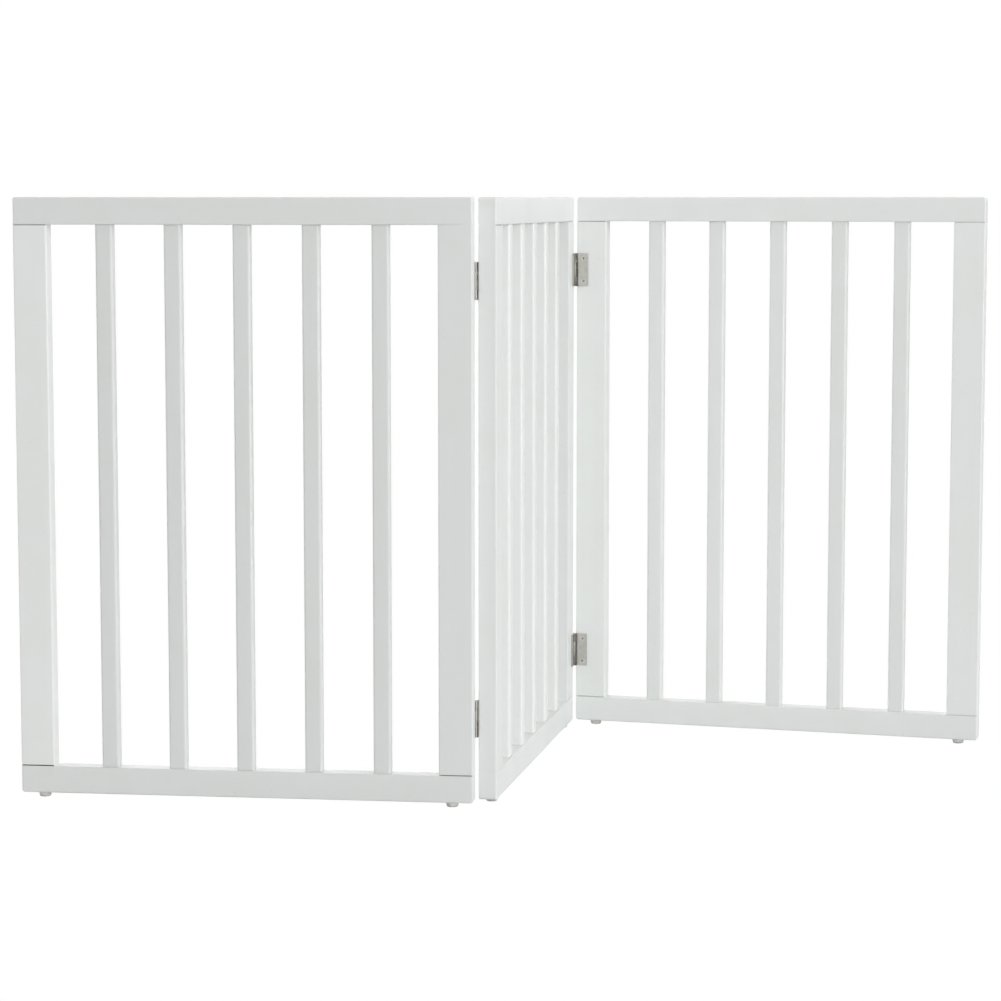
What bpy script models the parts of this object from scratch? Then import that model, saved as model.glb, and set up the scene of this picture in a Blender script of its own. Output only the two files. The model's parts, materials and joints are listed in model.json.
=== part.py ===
"""Folding pet gate: three slatted wooden panels, hinged into a free-standing zigzag.

Metres, +Z up, the feet stand on Z = 0 and the gate's box is centred on X = Y = 0.
Each panel has its own frame: x across its width from its left end, y from its front
face to its back face, z up from the floor.  The middle panel carries the other two:
the left panel swings on pins behind the middle one, the right panel on pins in front.
"""

import math

import bmesh
import bpy
from mathutils import Matrix, Vector

# Whole gate
GATE_HEIGHT = 0.610
FOOT_HEIGHT = 0.005
PANEL_YAW = {"left": -7.3, "middle": 79.0, "right": -16.9}  # degrees from the X axis

# Panel woodwork
PANEL_WIDTH = 0.465
PANEL_THICKNESS = 0.0185
RAIL_HEIGHT = 0.0275
STILE_WIDTH = 0.0345
SLAT_COUNT = 5
SLAT_WIDTH = 0.0175
SLAT_THICKNESS = 0.0135
SLAT_PITCH = 0.070
CORNER_RADIUS = 0.0028      # outer corners of a panel, seen from the front
EDGE_RADIUS = 0.0016        # long edges of rails and stiles
SLAT_EDGE_RADIUS = 0.0022
JOINT_EDGE = 0.35           # edges that meet at a rail-to-stile joint, as a share of EDGE_RADIUS
STILE_SHOULDER = 0.00525    # wood left around a stile's tenon
SLAT_SHOULDER = 0.003
STILE_TENON = 0.012
SLAT_TENON = 0.008

# Hinges
PANEL_GAP = 0.0022          # between two panels' ends when they stand in line
PIN_OFFSET = 0.0017         # pin axis in front of the wood that the leaf lies on
HINGE_HEIGHT = 0.0375
HINGE_INSET = 0.064         # panel's top or bottom edge to the hinge's nearer end
LEAF_REACH = 0.0146         # pin axis to a leaf's free edge
LEAF_THICKNESS = 0.00095
BARREL_RADIUS = 0.00215
BORE_RADIUS = BARREL_RADIUS - LEAF_THICKNESS
PIN_RADIUS = 0.0009
MIDDLE_KNUCKLE = 0.0175     # length of the knuckle between the two end knuckles
SEAM_ANGLE = math.radians(8)
SCREW_REACH = 0.0092        # pin axis to the screws
SCREW_SPACING = 0.026

# The panel face that the hinges lie on, for the four stiles that carry them.
HINGE_FACE = {
    ("left", "right"): "back",
    ("middle", "left"): "back",
    ("middle", "right"): "front",
    ("right", "left"): "front",
}

# Screws
HEAD_RADIUS = 0.003
SHANK_RADIUS = 0.0014
HEAD_DEPTH = 0.00185
SCREW_LENGTH = 0.012
RECESS_DEPTH = 0.0011
RECESS_WIDTH = 0.0008
FASTENER_SIDES = 16         # facets around screws, pins and their holes
# The gate has 61 pieces and the model holds 60, so one screw behind the gate is left out.
SKIPPED_SCREW = "left_lower_hinge_middle_bottom_screw"

# Feet
FOOT_TOP_RADIUS = 0.0068
FOOT_BOTTOM_RADIUS = 0.0058
FOOT_EDGE = 0.0008
FOOT_INSET = 0.022          # panel's end to the foot's centre
STEM_RADIUS = 0.0015
STEM_LENGTH = 0.009
FOOT_SIDES = 24

CLEARANCE = 0.0003          # between any two pieces that touch on the real gate
RAIL_BASE = FOOT_HEIGHT
RAIL_TOP = GATE_HEIGHT
FACE_Y = {"front": 0.0, "back": PANEL_THICKNESS}


# ---------------------------------------------------------------- mesh helpers

def add_box(bm, low, high):
    """Add a box between two opposite corners and return its faces."""
    low = Vector(low)
    high = Vector(high)
    place = Matrix.Translation((low + high) / 2) @ Matrix.Diagonal((*(high - low), 1.0))
    corners = bmesh.ops.create_cube(bm, size=1.0, matrix=place)["verts"]
    return list({face for corner in corners for face in corner.link_faces})


def add_turned(bm, profile, segments, place=Matrix.Identity(4)):
    """Turn a profile of (radius, height) points, top to bottom, about the Z axis."""
    older = set(bm.verts)
    points = [bm.verts.new((radius, 0.0, height)) for radius, height in profile]
    edges = [bm.edges.new(pair) for pair in zip(points, points[1:])]
    bmesh.ops.spin(
        bm, geom=points + edges, axis=(0, 0, 1), cent=(0, 0, 0),
        angle=math.tau, steps=segments, use_merge=True,
    )
    bmesh.ops.remove_doubles(bm, verts=[vert for vert in bm.verts if vert not in older], dist=1e-7)
    bmesh.ops.recalc_face_normals(bm, faces=bm.faces)
    bmesh.ops.transform(bm, matrix=place, verts=[vert for vert in bm.verts if vert not in older])


def add_prism(bm, outline, low_z, high_z):
    """Add a solid with an (x, y) outline between two heights."""
    base = bm.faces.new([bm.verts.new((x, y, low_z)) for x, y in outline])
    grown = bmesh.ops.extrude_face_region(bm, geom=[base])["geom"]
    top = [item for item in grown if isinstance(item, bmesh.types.BMVert)]
    bmesh.ops.translate(bm, vec=(0, 0, high_z - low_z), verts=top)
    bmesh.ops.recalc_face_normals(bm, faces=bm.faces)


def set_roundness(bm, share_of_edge):
    """Give each edge its share of the Bevel width, from a function of its two ends."""
    layer = bm.edges.layers.float.new("bevel_weight_edge")
    for edge in bm.edges:
        edge[layer] = share_of_edge(edge.verts[0].co, edge.verts[1].co)


def mesh_from(bm, name):
    """Turn a bmesh into a mesh and free it."""
    mesh = bpy.data.meshes.new(name)
    bm.to_mesh(mesh)
    bm.free()
    return mesh


def finished_mesh(name, body, cutter=None, round_width=0.0):
    """Round a body's weighted edges, cut it with another shape and shade it."""
    work = bpy.data.objects.new(name, mesh_from(body, name))
    bpy.context.collection.objects.link(work)
    if round_width:
        rounding = work.modifiers.new("rounding", "BEVEL")
        rounding.limit_method = "WEIGHT"
        rounding.width = round_width
        rounding.segments = 3
    helpers = [work]
    if cutter:
        tool = bpy.data.objects.new(name + "_cutter", mesh_from(cutter, name + "_cutter"))
        bpy.context.collection.objects.link(tool)
        helpers.append(tool)
        cut = work.modifiers.new("cut", "BOOLEAN")
        cut.operation = "DIFFERENCE"
        cut.solver = "EXACT"
        cut.object = tool
    evaluated = work.evaluated_get(bpy.context.evaluated_depsgraph_get())
    mesh = bpy.data.meshes.new_from_object(evaluated)
    for helper in helpers:
        bpy.data.objects.remove(helper, do_unlink=True)
    mesh.shade_smooth()
    mesh.set_sharp_from_angle(angle=math.radians(35))
    return mesh


def place_part(name, mesh, material, parent, location=(0, 0, 0), rotation=(0, 0, 0)):
    """Add one named sub-part under a frame."""
    mesh.materials.clear()
    mesh.materials.append(material)
    part = bpy.data.objects.new(name, mesh)
    bpy.context.collection.objects.link(part)
    part.parent = parent
    part.location = location
    part.rotation_euler = rotation
    return part


def make_frame(name, parent, location=(0, 0, 0), yaw=0.0):
    """Add an empty that other pieces are placed in."""
    frame = bpy.data.objects.new(name, None)
    bpy.context.collection.objects.link(frame)
    frame.parent = parent
    frame.location = location
    frame.rotation_euler.z = math.radians(yaw)
    return frame


def make_material(name, colour, roughness, metallic):
    """A plain Principled material."""
    material = bpy.data.materials.new(name)
    material.use_nodes = True
    shader = material.node_tree.nodes["Principled BSDF"]
    shader.inputs["Base Color"].default_value = (*colour, 1.0)
    shader.inputs["Roughness"].default_value = roughness
    shader.inputs["Metallic"].default_value = metallic
    return material


# ------------------------------------------------------------------- woodwork

def slat_lefts():
    """Left edge of each slat, centred on the panel."""
    first = (PANEL_WIDTH - SLAT_WIDTH - (SLAT_COUNT - 1) * SLAT_PITCH) / 2
    return [first + number * SLAT_PITCH for number in range(SLAT_COUNT)]


def rail_span(place):
    """Lowest and highest z of the top or the bottom rail."""
    if place == "top":
        return RAIL_TOP - RAIL_HEIGHT, RAIL_TOP
    return RAIL_BASE, RAIL_BASE + RAIL_HEIGHT


def add_mortise(bm, place, left, width, thickness, shoulder, depth):
    """Add the pocket that one tenon needs in a rail, opening past the rail's inner face."""
    low, high = rail_span(place)
    front = (PANEL_THICKNESS - thickness) / 2 + shoulder - CLEARANCE
    if place == "top":
        z_range = (low - CLEARANCE, low + depth + CLEARANCE)
    else:
        z_range = (high - depth - CLEARANCE, high + CLEARANCE)
    add_box(
        bm,
        (left + shoulder - CLEARANCE, front, z_range[0]),
        (left + width - shoulder + CLEARANCE, PANEL_THICKNESS - front, z_range[1]),
    )


def rail_cutter(place):
    """All the pockets of one rail: two stiles, the slats, and the feet's stems below."""
    bm = bmesh.new()
    for left in (0.0, PANEL_WIDTH - STILE_WIDTH):
        add_mortise(bm, place, left, STILE_WIDTH, PANEL_THICKNESS, STILE_SHOULDER, STILE_TENON)
    for left in slat_lefts():
        add_mortise(bm, place, left, SLAT_WIDTH, SLAT_THICKNESS, SLAT_SHOULDER, SLAT_TENON)
    if place == "bottom":
        for x in foot_positions():
            hole = [
                (0.0, STEM_LENGTH + CLEARANCE),
                (STEM_RADIUS + CLEARANCE, STEM_LENGTH + CLEARANCE),
                (STEM_RADIUS + CLEARANCE, -CLEARANCE),
                (0.0, -CLEARANCE),
            ]
            add_turned(bm, hole, FASTENER_SIDES, Matrix.Translation((x, PANEL_THICKNESS / 2, RAIL_BASE)))
    return bm


def rail_mesh(place):
    """A rail runs the panel's whole width and is rounded at its two outer corners."""
    low, high = rail_span(place)
    outer_z = high if place == "top" else low
    inner_z = low if place == "top" else high
    bm = bmesh.new()
    add_box(bm, (0, 0, low), (PANEL_WIDTH, PANEL_THICKNESS, high))
    outer_corners = [
        edge for edge in bm.edges
        if abs(edge.verts[0].co.y - edge.verts[1].co.y) > PANEL_THICKNESS / 2
        and abs(edge.verts[0].co.z - outer_z) < CLEARANCE
    ]
    bmesh.ops.bevel(
        bm, geom=outer_corners, offset=CORNER_RADIUS, offset_type="OFFSET",
        segments=3, profile=0.5, affect="EDGES", material=-1,
    )

    def share(start, end):
        if abs(start.y - end.y) > CLEARANCE:
            return 0.0
        if abs(start.z - inner_z) < CLEARANCE and abs(end.z - inner_z) < CLEARANCE:
            return JOINT_EDGE
        return 1.0

    set_roundness(bm, share)
    return finished_mesh(place + "_rail", bm, rail_cutter(place), EDGE_RADIUS)


def upright_body(width, thickness, shoulder, tenon):
    """An upright between the rails, with a tenon at each end; its left front corner is at 0, 0."""
    low = rail_span("bottom")[1] + CLEARANCE
    high = rail_span("top")[0] - CLEARANCE
    bm = bmesh.new()
    faces = add_box(bm, (0, 0, low), (width, thickness, high))
    ends = [face for face in faces if abs(face.normal.z) > 0.5]
    for end in ends:
        outward = end.normal.copy()
        bmesh.ops.inset_individual(bm, faces=[end], thickness=shoulder, use_even_offset=True)
        grown = bmesh.ops.extrude_discrete_faces(bm, faces=[end])["faces"]
        corners = grown[0].verts
        bmesh.ops.translate(bm, vec=outward * tenon, verts=corners)
    return bm


def is_upright(start, end):
    """Whether an edge runs along Z."""
    return abs(start.z - end.z) > STILE_WIDTH


def pilot_holes(x, face):
    """Holes for the hinge screws in a stile, at x across it and opening on one face."""
    bm = bmesh.new()
    turn = Matrix.Rotation(math.radians(90 if face == "front" else -90), 4, "X")
    for hinge_z in hinge_heights().values():
        for side in (-1, 1):
            z = hinge_z + side * SCREW_SPACING / 2
            mouth = Matrix.Translation((x, FACE_Y[face], z)) @ turn
            add_turned(bm, hole_profile(CLEARANCE + LEAF_THICKNESS), FASTENER_SIDES, mouth)
    return bm


def stile_mesh(end, face):
    """A stile at the panel's left or right end, with screw holes in the face that holds hinges."""
    bm = upright_body(STILE_WIDTH, PANEL_THICKNESS, STILE_SHOULDER, STILE_TENON)

    def share(start, end):
        near_x_side = min(start.x, STILE_WIDTH - start.x) < CLEARANCE
        near_y_side = min(start.y, PANEL_THICKNESS - start.y) < CLEARANCE
        if not (near_x_side or near_y_side):
            return 0.0
        if is_upright(start, end):
            return 1.0
        along_x = abs(start.x - end.x) > STILE_WIDTH / 2
        return JOINT_EDGE if along_x else 0.0

    set_roundness(bm, share)
    cutter = None
    if face:
        reach = SCREW_REACH - PANEL_GAP / 2
        cutter = pilot_holes(reach if end == "left" else STILE_WIDTH - reach, face)
    return finished_mesh("stile", bm, cutter, EDGE_RADIUS)


def slat_mesh():
    """A slat, rounded on its four long edges."""
    bm = upright_body(SLAT_WIDTH, SLAT_THICKNESS, SLAT_SHOULDER, SLAT_TENON)

    def share(start, end):
        on_side = min(start.x, SLAT_WIDTH - start.x) < CLEARANCE
        return 1.0 if on_side and is_upright(start, end) else 0.0

    set_roundness(bm, share)
    return finished_mesh("slat", bm, None, SLAT_EDGE_RADIUS)


# ----------------------------------------------------------------------- feet

def foot_positions():
    """The two feet's centres across a panel."""
    return [FOOT_INSET, PANEL_WIDTH - FOOT_INSET]


def foot_mesh():
    """A tapered glide on a stem that is pressed up into the rail; its rail face is at z = 0."""
    top = -CLEARANCE
    bottom = -FOOT_HEIGHT
    profile = [(0.0, STEM_LENGTH), (STEM_RADIUS, STEM_LENGTH), (STEM_RADIUS, top), (FOOT_TOP_RADIUS, top)]
    for step in range(3):
        angle = math.radians(45 * step)
        radius = FOOT_BOTTOM_RADIUS - FOOT_EDGE + FOOT_EDGE * math.cos(angle)
        profile.append((radius, bottom + FOOT_EDGE - FOOT_EDGE * math.sin(angle)))
    profile.append((0.0, bottom))
    bm = bmesh.new()
    add_turned(bm, profile, FOOT_SIDES)
    return finished_mesh("foot", bm)


# --------------------------------------------------------------------- hinges

def hinge_heights():
    """Centre height of the two hinges of a fold."""
    reach = HINGE_INSET + HINGE_HEIGHT / 2
    return {"upper": RAIL_TOP - reach, "lower": RAIL_BASE + reach}


def arc(radius, start, end, steps):
    """Points on a circle about the pin, from one angle to another."""
    angles = [start + (end - start) * step / steps for step in range(steps + 1)]
    return [(radius * math.cos(angle), radius * math.sin(angle)) for angle in angles]


def leaf_mesh(knuckles):
    """One leaf, rolled around the pin, with its end knuckles or its middle knuckle left on.

    Leaf frame: the pin is the Z axis, x runs across the leaf and y out of the wood.
    """
    low_y = -PIN_OFFSET + CLEARANCE
    high_y = low_y + LEAF_THICKNESS
    root_low = math.asin(low_y / BARREL_RADIUS)
    root_high = math.asin(high_y / BORE_RADIUS)
    roll = arc(BARREL_RADIUS, root_low, SEAM_ANGLE - math.tau, 14)
    roll += arc(BORE_RADIUS, SEAM_ANGLE - math.tau, root_high, 12)
    outline = [(LEAF_REACH, low_y)] + roll + [(LEAF_REACH, high_y)]
    bm = bmesh.new()
    half = HINGE_HEIGHT / 2
    add_prism(bm, outline, -half, half)

    cutter = bmesh.new()
    room = BARREL_RADIUS + CLEARANCE
    for low_z, high_z in knuckle_notches(knuckles):
        add_box(cutter, (-room - CLEARANCE, -room, low_z), (room, room, high_z))
    turn = Matrix.Rotation(math.radians(-90), 4, "X")
    for side in (-1, 1):
        mouth = Matrix.Translation((SCREW_REACH, high_y, side * SCREW_SPACING / 2)) @ turn
        add_turned(cutter, hole_profile(0.0), FASTENER_SIDES, mouth)
    return finished_mesh("leaf", bm, cutter)


def knuckle_notches(knuckles):
    """Height ranges where a leaf's roll is cut away for the other leaf's knuckles."""
    half = HINGE_HEIGHT / 2
    joint = MIDDLE_KNUCKLE / 2
    if knuckles == "end":
        return [(-joint - CLEARANCE, joint + CLEARANCE)]
    past = half + CLEARANCE
    return [(-past, -joint), (joint, past)]


def pin_mesh():
    """A hinge pin, a little longer than the barrel, with chamfered ends."""
    half = HINGE_HEIGHT / 2 + CLEARANCE
    chamfer = PIN_RADIUS / 3
    profile = [
        (0.0, half), (PIN_RADIUS - chamfer, half), (PIN_RADIUS, half - chamfer),
        (PIN_RADIUS, chamfer - half), (PIN_RADIUS - chamfer, -half), (0.0, -half),
    ]
    bm = bmesh.new()
    add_turned(bm, profile, FASTENER_SIDES)
    return finished_mesh("pin", bm)


# --------------------------------------------------------------------- screws

def hole_profile(below_head):
    """A countersunk hole's profile with clearance; its mouth is this far below the head's top."""
    grown_head = HEAD_RADIUS + CLEARANCE
    grown_shank = SHANK_RADIUS + CLEARANCE
    slope = (HEAD_RADIUS - SHANK_RADIUS) / HEAD_DEPTH
    mouth_radius = grown_head - slope * below_head
    past = CLEARANCE
    return [
        (0.0, past), (mouth_radius + slope * past, past),
        (grown_shank, below_head - HEAD_DEPTH),
        (grown_shank, -SCREW_LENGTH - CLEARANCE), (0.0, -SCREW_LENGTH - CLEARANCE),
    ]


def screw_mesh():
    """A countersunk screw with a cross recess; its head's top is at z = 0 and it points down."""
    tip = SHANK_RADIUS * 1.6
    profile = [
        (0.0, 0.0), (HEAD_RADIUS, 0.0), (SHANK_RADIUS, -HEAD_DEPTH),
        (SHANK_RADIUS, tip - SCREW_LENGTH), (0.0, -SCREW_LENGTH),
    ]
    bm = bmesh.new()
    add_turned(bm, profile, FASTENER_SIDES)
    cutter = bmesh.new()
    arm = HEAD_RADIUS * 0.6
    half = RECESS_WIDTH / 2
    cross = [
        (arm, half), (half, half), (half, arm), (-half, arm), (-half, half), (-arm, half),
        (-arm, -half), (-half, -half), (-half, -arm), (half, -arm), (half, -half), (arm, -half),
    ]
    add_prism(cutter, cross, -RECESS_DEPTH, CLEARANCE)
    return finished_mesh("screw", bm, cutter)


# ------------------------------------------------------------------- assembly

def build_panel(side, frame, shapes, finishes):
    """The rails, stiles, slats and feet of one panel."""
    for place in ("top", "bottom"):
        place_part(f"{side}_{place}_rail", shapes[place + "_rail"], finishes["rail"], frame)
    for end in ("left", "right"):
        x = 0.0 if end == "left" else PANEL_WIDTH - STILE_WIDTH
        mesh = stile_mesh(end, HINGE_FACE.get((side, end)))
        place_part(f"{side}_{end}_stile", mesh, finishes["stile"], frame, (x, 0, 0))
    inset = (PANEL_THICKNESS - SLAT_THICKNESS) / 2
    for number, x in enumerate(slat_lefts(), start=1):
        place_part(f"{side}_slat_{number}", shapes["slat"], finishes["slat"], frame, (x, inset, 0))
    for end, x in zip(("left", "right"), foot_positions()):
        spot = (x, PANEL_THICKNESS / 2, RAIL_BASE)
        place_part(f"{side}_{end}_foot", shapes["foot"], finishes["foot"], frame, spot)


def pin_place(end, face):
    """Where a hinge's pin stands in a panel's frame, at the panel's left or right end."""
    x = -PANEL_GAP / 2 if end == "left" else PANEL_WIDTH + PANEL_GAP / 2
    y = PANEL_THICKNESS + PIN_OFFSET if face == "back" else -PIN_OFFSET
    return x, y


def leaf_turn(end, face):
    """Turn from the leaf frame to the panel frame."""
    across = 1 if end == "left" else -1
    out = 1 if face == "back" else -1
    return Matrix(((across, 0, 0), (0, out, 0), (0, 0, across * out))).to_euler()


def build_leaf(name, frame, side, end, knuckles, level, shapes, finishes):
    """One leaf and its two screws, on one panel."""
    face = HINGE_FACE[side, end]
    x, y = pin_place(end, face)
    z = hinge_heights()[level]
    turn = leaf_turn(end, face)
    place_part(f"{name}_leaf", shapes[knuckles + "_leaf"], finishes["leaf"], frame, (x, y, z), turn)
    into = 1 if end == "left" else -1
    out = 1 if face == "back" else -1
    head_y = FACE_Y[face] + out * (CLEARANCE + LEAF_THICKNESS)
    for place, step in (("top", 1), ("bottom", -1)):
        screw_name = f"{name}_{place}_screw"
        if screw_name == SKIPPED_SCREW:
            continue
        spot = (x + into * SCREW_REACH, head_y, z + step * SCREW_SPACING / 2)
        tilt = (math.radians(-90 * out), 0, 0)
        place_part(screw_name, shapes["screw"], finishes["screw"], frame, spot, tilt)


def build_fold(side, wing_frame, middle_frame, shapes, finishes):
    """The two hinges between the middle panel and its left or right neighbour."""
    wing_end = "right" if side == "left" else "left"
    wing_knuckles, middle_knuckles = ("end", "middle") if side == "left" else ("middle", "end")
    pin_frame, pin_end = (wing_frame, wing_end) if side == "left" else (middle_frame, side)
    x, y = pin_place(pin_end, "back" if side == "left" else "front")
    for level, z in hinge_heights().items():
        name = f"{side}_{level}_hinge"
        build_leaf(f"{name}_wing", wing_frame, side, wing_end, wing_knuckles, level, shapes, finishes)
        build_leaf(f"{name}_middle", middle_frame, "middle", side, middle_knuckles, level, shapes, finishes)
        place_part(f"{name}_pin", shapes["pin"], finishes["pin"], pin_frame, (x, y, z))


def build_frames():
    """The empties: the gate, the middle panel, and each wing on its pin's axis."""
    gate = make_frame("gate_frame", None)
    middle = make_frame("middle_panel_frame", gate, yaw=PANEL_YAW["middle"])
    frames = {"gate": gate, "middle": middle}
    for side, wing_end, face in (("left", "right", "back"), ("right", "left", "front")):
        x, y = pin_place(side, face)
        turn = PANEL_YAW[side] - PANEL_YAW["middle"]
        pivot = make_frame(side + "_pivot", middle, (x, y, 0), turn)
        x, y = pin_place(wing_end, face)
        frames[side] = make_frame(side + "_panel_frame", pivot, (-x, -y, 0))
    return frames


def centre_gate(gate):
    """Move the gate so that the middle of its box is over the origin."""
    bpy.context.view_layer.update()
    corners = [
        part.matrix_world @ vert.co
        for part in bpy.context.collection.objects if part.type == "MESH"
        for vert in part.data.vertices
    ]
    for axis in (0, 1):
        values = [corner[axis] for corner in corners]
        gate.location[axis] = -(min(values) + max(values)) / 2
    bpy.context.view_layer.update()


def main():
    for old in list(bpy.data.objects):
        bpy.data.objects.remove(old, do_unlink=True)
    finishes = {
        "rail": make_material("rail_white_paint", (0.80, 0.81, 0.80), 0.45, 0.0),
        "stile": make_material("stile_white_paint", (0.80, 0.81, 0.80), 0.45, 0.0),
        "slat": make_material("slat_white_paint", (0.82, 0.83, 0.82), 0.45, 0.0),
        "foot": make_material("foot_pale_plastic", (0.62, 0.61, 0.58), 0.55, 0.0),
        "leaf": make_material("leaf_nickel", (0.52, 0.51, 0.47), 0.30, 1.0),
        "pin": make_material("pin_steel", (0.55, 0.54, 0.52), 0.30, 1.0),
        "screw": make_material("screw_nickel", (0.56, 0.55, 0.51), 0.28, 1.0),
    }
    shapes = {
        "top_rail": rail_mesh("top"),
        "bottom_rail": rail_mesh("bottom"),
        "slat": slat_mesh(),
        "foot": foot_mesh(),
        "end_leaf": leaf_mesh("end"),
        "middle_leaf": leaf_mesh("middle"),
        "pin": pin_mesh(),
        "screw": screw_mesh(),
    }
    frames = build_frames()
    for side in ("left", "middle", "right"):
        build_panel(side, frames[side], shapes, finishes)
    for side in ("left", "right"):
        build_fold(side, frames[side], frames["middle"], shapes, finishes)
    centre_gate(frames["gate"])


main()
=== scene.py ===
# %% [markdown]
# # A folding pet gate
#
# Three white slatted panels stand in a zigzag, joined by four small nickel hinges.  The
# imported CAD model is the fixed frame: it says where every piece stands and what it moves
# with.  This notebook builds a finer piece in the place of each CAD solid, paints it with
# procedural materials, and sets up a pale studio around it.  Everything is in metres.

# %% Load the frame
import json
import math

import bmesh
import bpy
from mathutils import Matrix, Vector


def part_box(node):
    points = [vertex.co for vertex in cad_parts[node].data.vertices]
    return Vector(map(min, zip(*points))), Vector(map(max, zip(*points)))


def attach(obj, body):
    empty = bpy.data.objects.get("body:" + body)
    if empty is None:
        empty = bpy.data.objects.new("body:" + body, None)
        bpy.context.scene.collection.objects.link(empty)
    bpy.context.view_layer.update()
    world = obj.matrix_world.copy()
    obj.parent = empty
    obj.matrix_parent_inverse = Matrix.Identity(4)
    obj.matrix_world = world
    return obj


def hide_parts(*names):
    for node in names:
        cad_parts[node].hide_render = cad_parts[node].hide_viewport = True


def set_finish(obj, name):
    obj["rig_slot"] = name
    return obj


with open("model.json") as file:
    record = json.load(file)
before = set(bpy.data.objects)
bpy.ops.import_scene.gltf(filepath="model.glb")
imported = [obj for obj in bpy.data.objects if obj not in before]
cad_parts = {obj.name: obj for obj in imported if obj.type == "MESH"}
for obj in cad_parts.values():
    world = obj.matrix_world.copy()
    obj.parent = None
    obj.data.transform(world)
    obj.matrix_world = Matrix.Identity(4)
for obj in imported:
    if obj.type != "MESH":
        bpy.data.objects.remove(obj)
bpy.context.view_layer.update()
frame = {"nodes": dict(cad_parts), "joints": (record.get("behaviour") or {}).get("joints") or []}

# %% [markdown]
# ## The camera
#
# A camera can be placed by dragging it in the viewport, by tracking a target, or by numbers.
# Numbers are used here, because the gate's upright lines only stay parallel to the picture's
# sides when the long lens is nearly level: it stands three metres off at the gate's height
# and looks six degrees down.

# %% Set up the camera
CAMERA_PLACE = (-0.02776, -3.12576, 0.61004)
CAMERA_DOWN = 0.10361       # radians below level
CAMERA_YAW = -0.00109
LENS = 104.99               # millimetres, on a sensor 36 mm wide
scene = bpy.context.scene

camera_data = bpy.data.cameras.new("studio_camera")
camera_data.lens = LENS
camera_data.sensor_width = 36.0
camera = bpy.data.objects.new("studio_camera", camera_data)
camera.location = CAMERA_PLACE
camera.rotation_euler = (math.pi / 2 - CAMERA_DOWN, 0.0, CAMERA_YAW)
scene.collection.objects.link(camera)
scene.camera = camera
print("Lens", LENS, "mm, looking", round(math.degrees(CAMERA_DOWN), 1), "degrees down")

# %% [markdown]
# ## Where the three panels stand
#
# Every panel has the same woodwork, so it is easiest to model it in the panel's own frame: x
# across from its left end, y from its front face to its back, z up from the floor.  The two
# feet under each panel show where that frame lies in the room.

# %% Find each panel's frame
SIDES = ("left", "middle", "right")
PANEL_WIDTH = 0.465
PANEL_THICKNESS = 0.0185
FOOT_INSET = 0.022          # panel's end to the foot's centre


def centre_of(node):
    """Middle of a CAD node's box."""
    low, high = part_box(node)
    return (low + high) / 2


def panel_place(side):
    """Matrix from a panel's own frame to the room."""
    left_foot = centre_of(f"{side}_left_foot")
    across = centre_of(f"{side}_right_foot") - left_foot
    turn = Matrix.Rotation(math.atan2(across.y, across.x), 4, "Z")
    foot_in_panel = Vector((FOOT_INSET, PANEL_THICKNESS / 2, 0.0))
    corner = Vector((left_foot.x, left_foot.y, 0.0)) - turn @ foot_in_panel
    return Matrix.Translation(corner) @ turn


places = {side: panel_place(side) for side in SIDES}
for side, place in places.items():
    yaw = math.degrees(place.to_euler().z)
    print(side, "panel turned", round(yaw, 1), "degrees")

# %% [markdown]
# ## Helpers for meshes
#
# A bmesh is Blender's editable mesh in memory.  The helpers below make simple shapes and work
# on them with operators, as one would by hand.

# %% Helpers for meshes
TINY = 1e-6


def add_block(bm, low, high):
    """Add a box between two opposite corners and return its vertices."""
    low = Vector(low)
    high = Vector(high)
    place = Matrix.Translation((low + high) / 2) @ Matrix.Diagonal((*(high - low), 1.0))
    return bmesh.ops.create_cube(bm, size=1.0, matrix=place)["verts"]


def cut_across(bm, axis, values):
    """Cut the whole mesh with planes across one axis (0, 1 or 2)."""
    normal = Vector((0, 0, 0))
    normal[axis] = 1.0
    for value in values:
        bmesh.ops.bisect_plane(
            bm, geom=bm.verts[:] + bm.edges[:] + bm.faces[:],
            plane_co=normal * value, plane_no=normal, dist=TINY,
        )


def round_edges(bm, edges, radius, segments):
    """Round some edges evenly."""
    bmesh.ops.bevel(
        bm, geom=edges, offset=radius, offset_type="OFFSET", segments=segments,
        profile=0.5, affect="EDGES", clamp_overlap=True, material=-1,
    )


def turned(profile, steps):
    """A new bmesh: a profile of (radius, height) points spun about the Z axis."""
    bm = bmesh.new()
    points = [bm.verts.new((radius, 0.0, height)) for radius, height in profile]
    edges = [bm.edges.new(pair) for pair in zip(points, points[1:])]
    bmesh.ops.spin(
        bm, geom=points + edges, axis=(0, 0, 1), cent=(0, 0, 0),
        angle=math.tau, steps=steps, use_merge=True,
    )
    bmesh.ops.remove_doubles(bm, verts=bm.verts, dist=TINY)
    bmesh.ops.recalc_face_normals(bm, faces=bm.faces)
    return bm


print("Mesh tools: block, cut, round and turn")

# %% [markdown]
# ## From a bmesh to a piece
#
# A finished piece keeps three attributes for its material. `own_place` is its coordinates before
# it was put in the room, so that grain and brushing follow the piece. `edge` is 1 where the
# surface turns sharply, so that wear lands on the edges. `tone_and_light` says how white its
# paint is:
# the board's own tone together with painted light and shade.

# %% Finish a piece
FLAT_TURN = math.radians(12)    # a turn this small counts as flat
EDGE_TURN = math.radians(24)    # and from here on it counts as an edge
SHARP_TURN = math.radians(40)   # smooth shading breaks here
made = []                       # every finished piece, in order


def edge_share(vert):
    """How much of an edge a vertex is, from 0 on a flat to 1."""
    sharpest = max(edge.calc_face_angle(0.0) for edge in vert.link_edges)
    share = (sharpest - FLAT_TURN) / (EDGE_TURN - FLAT_TURN)
    return min(1.0, max(0.0, share))


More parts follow.
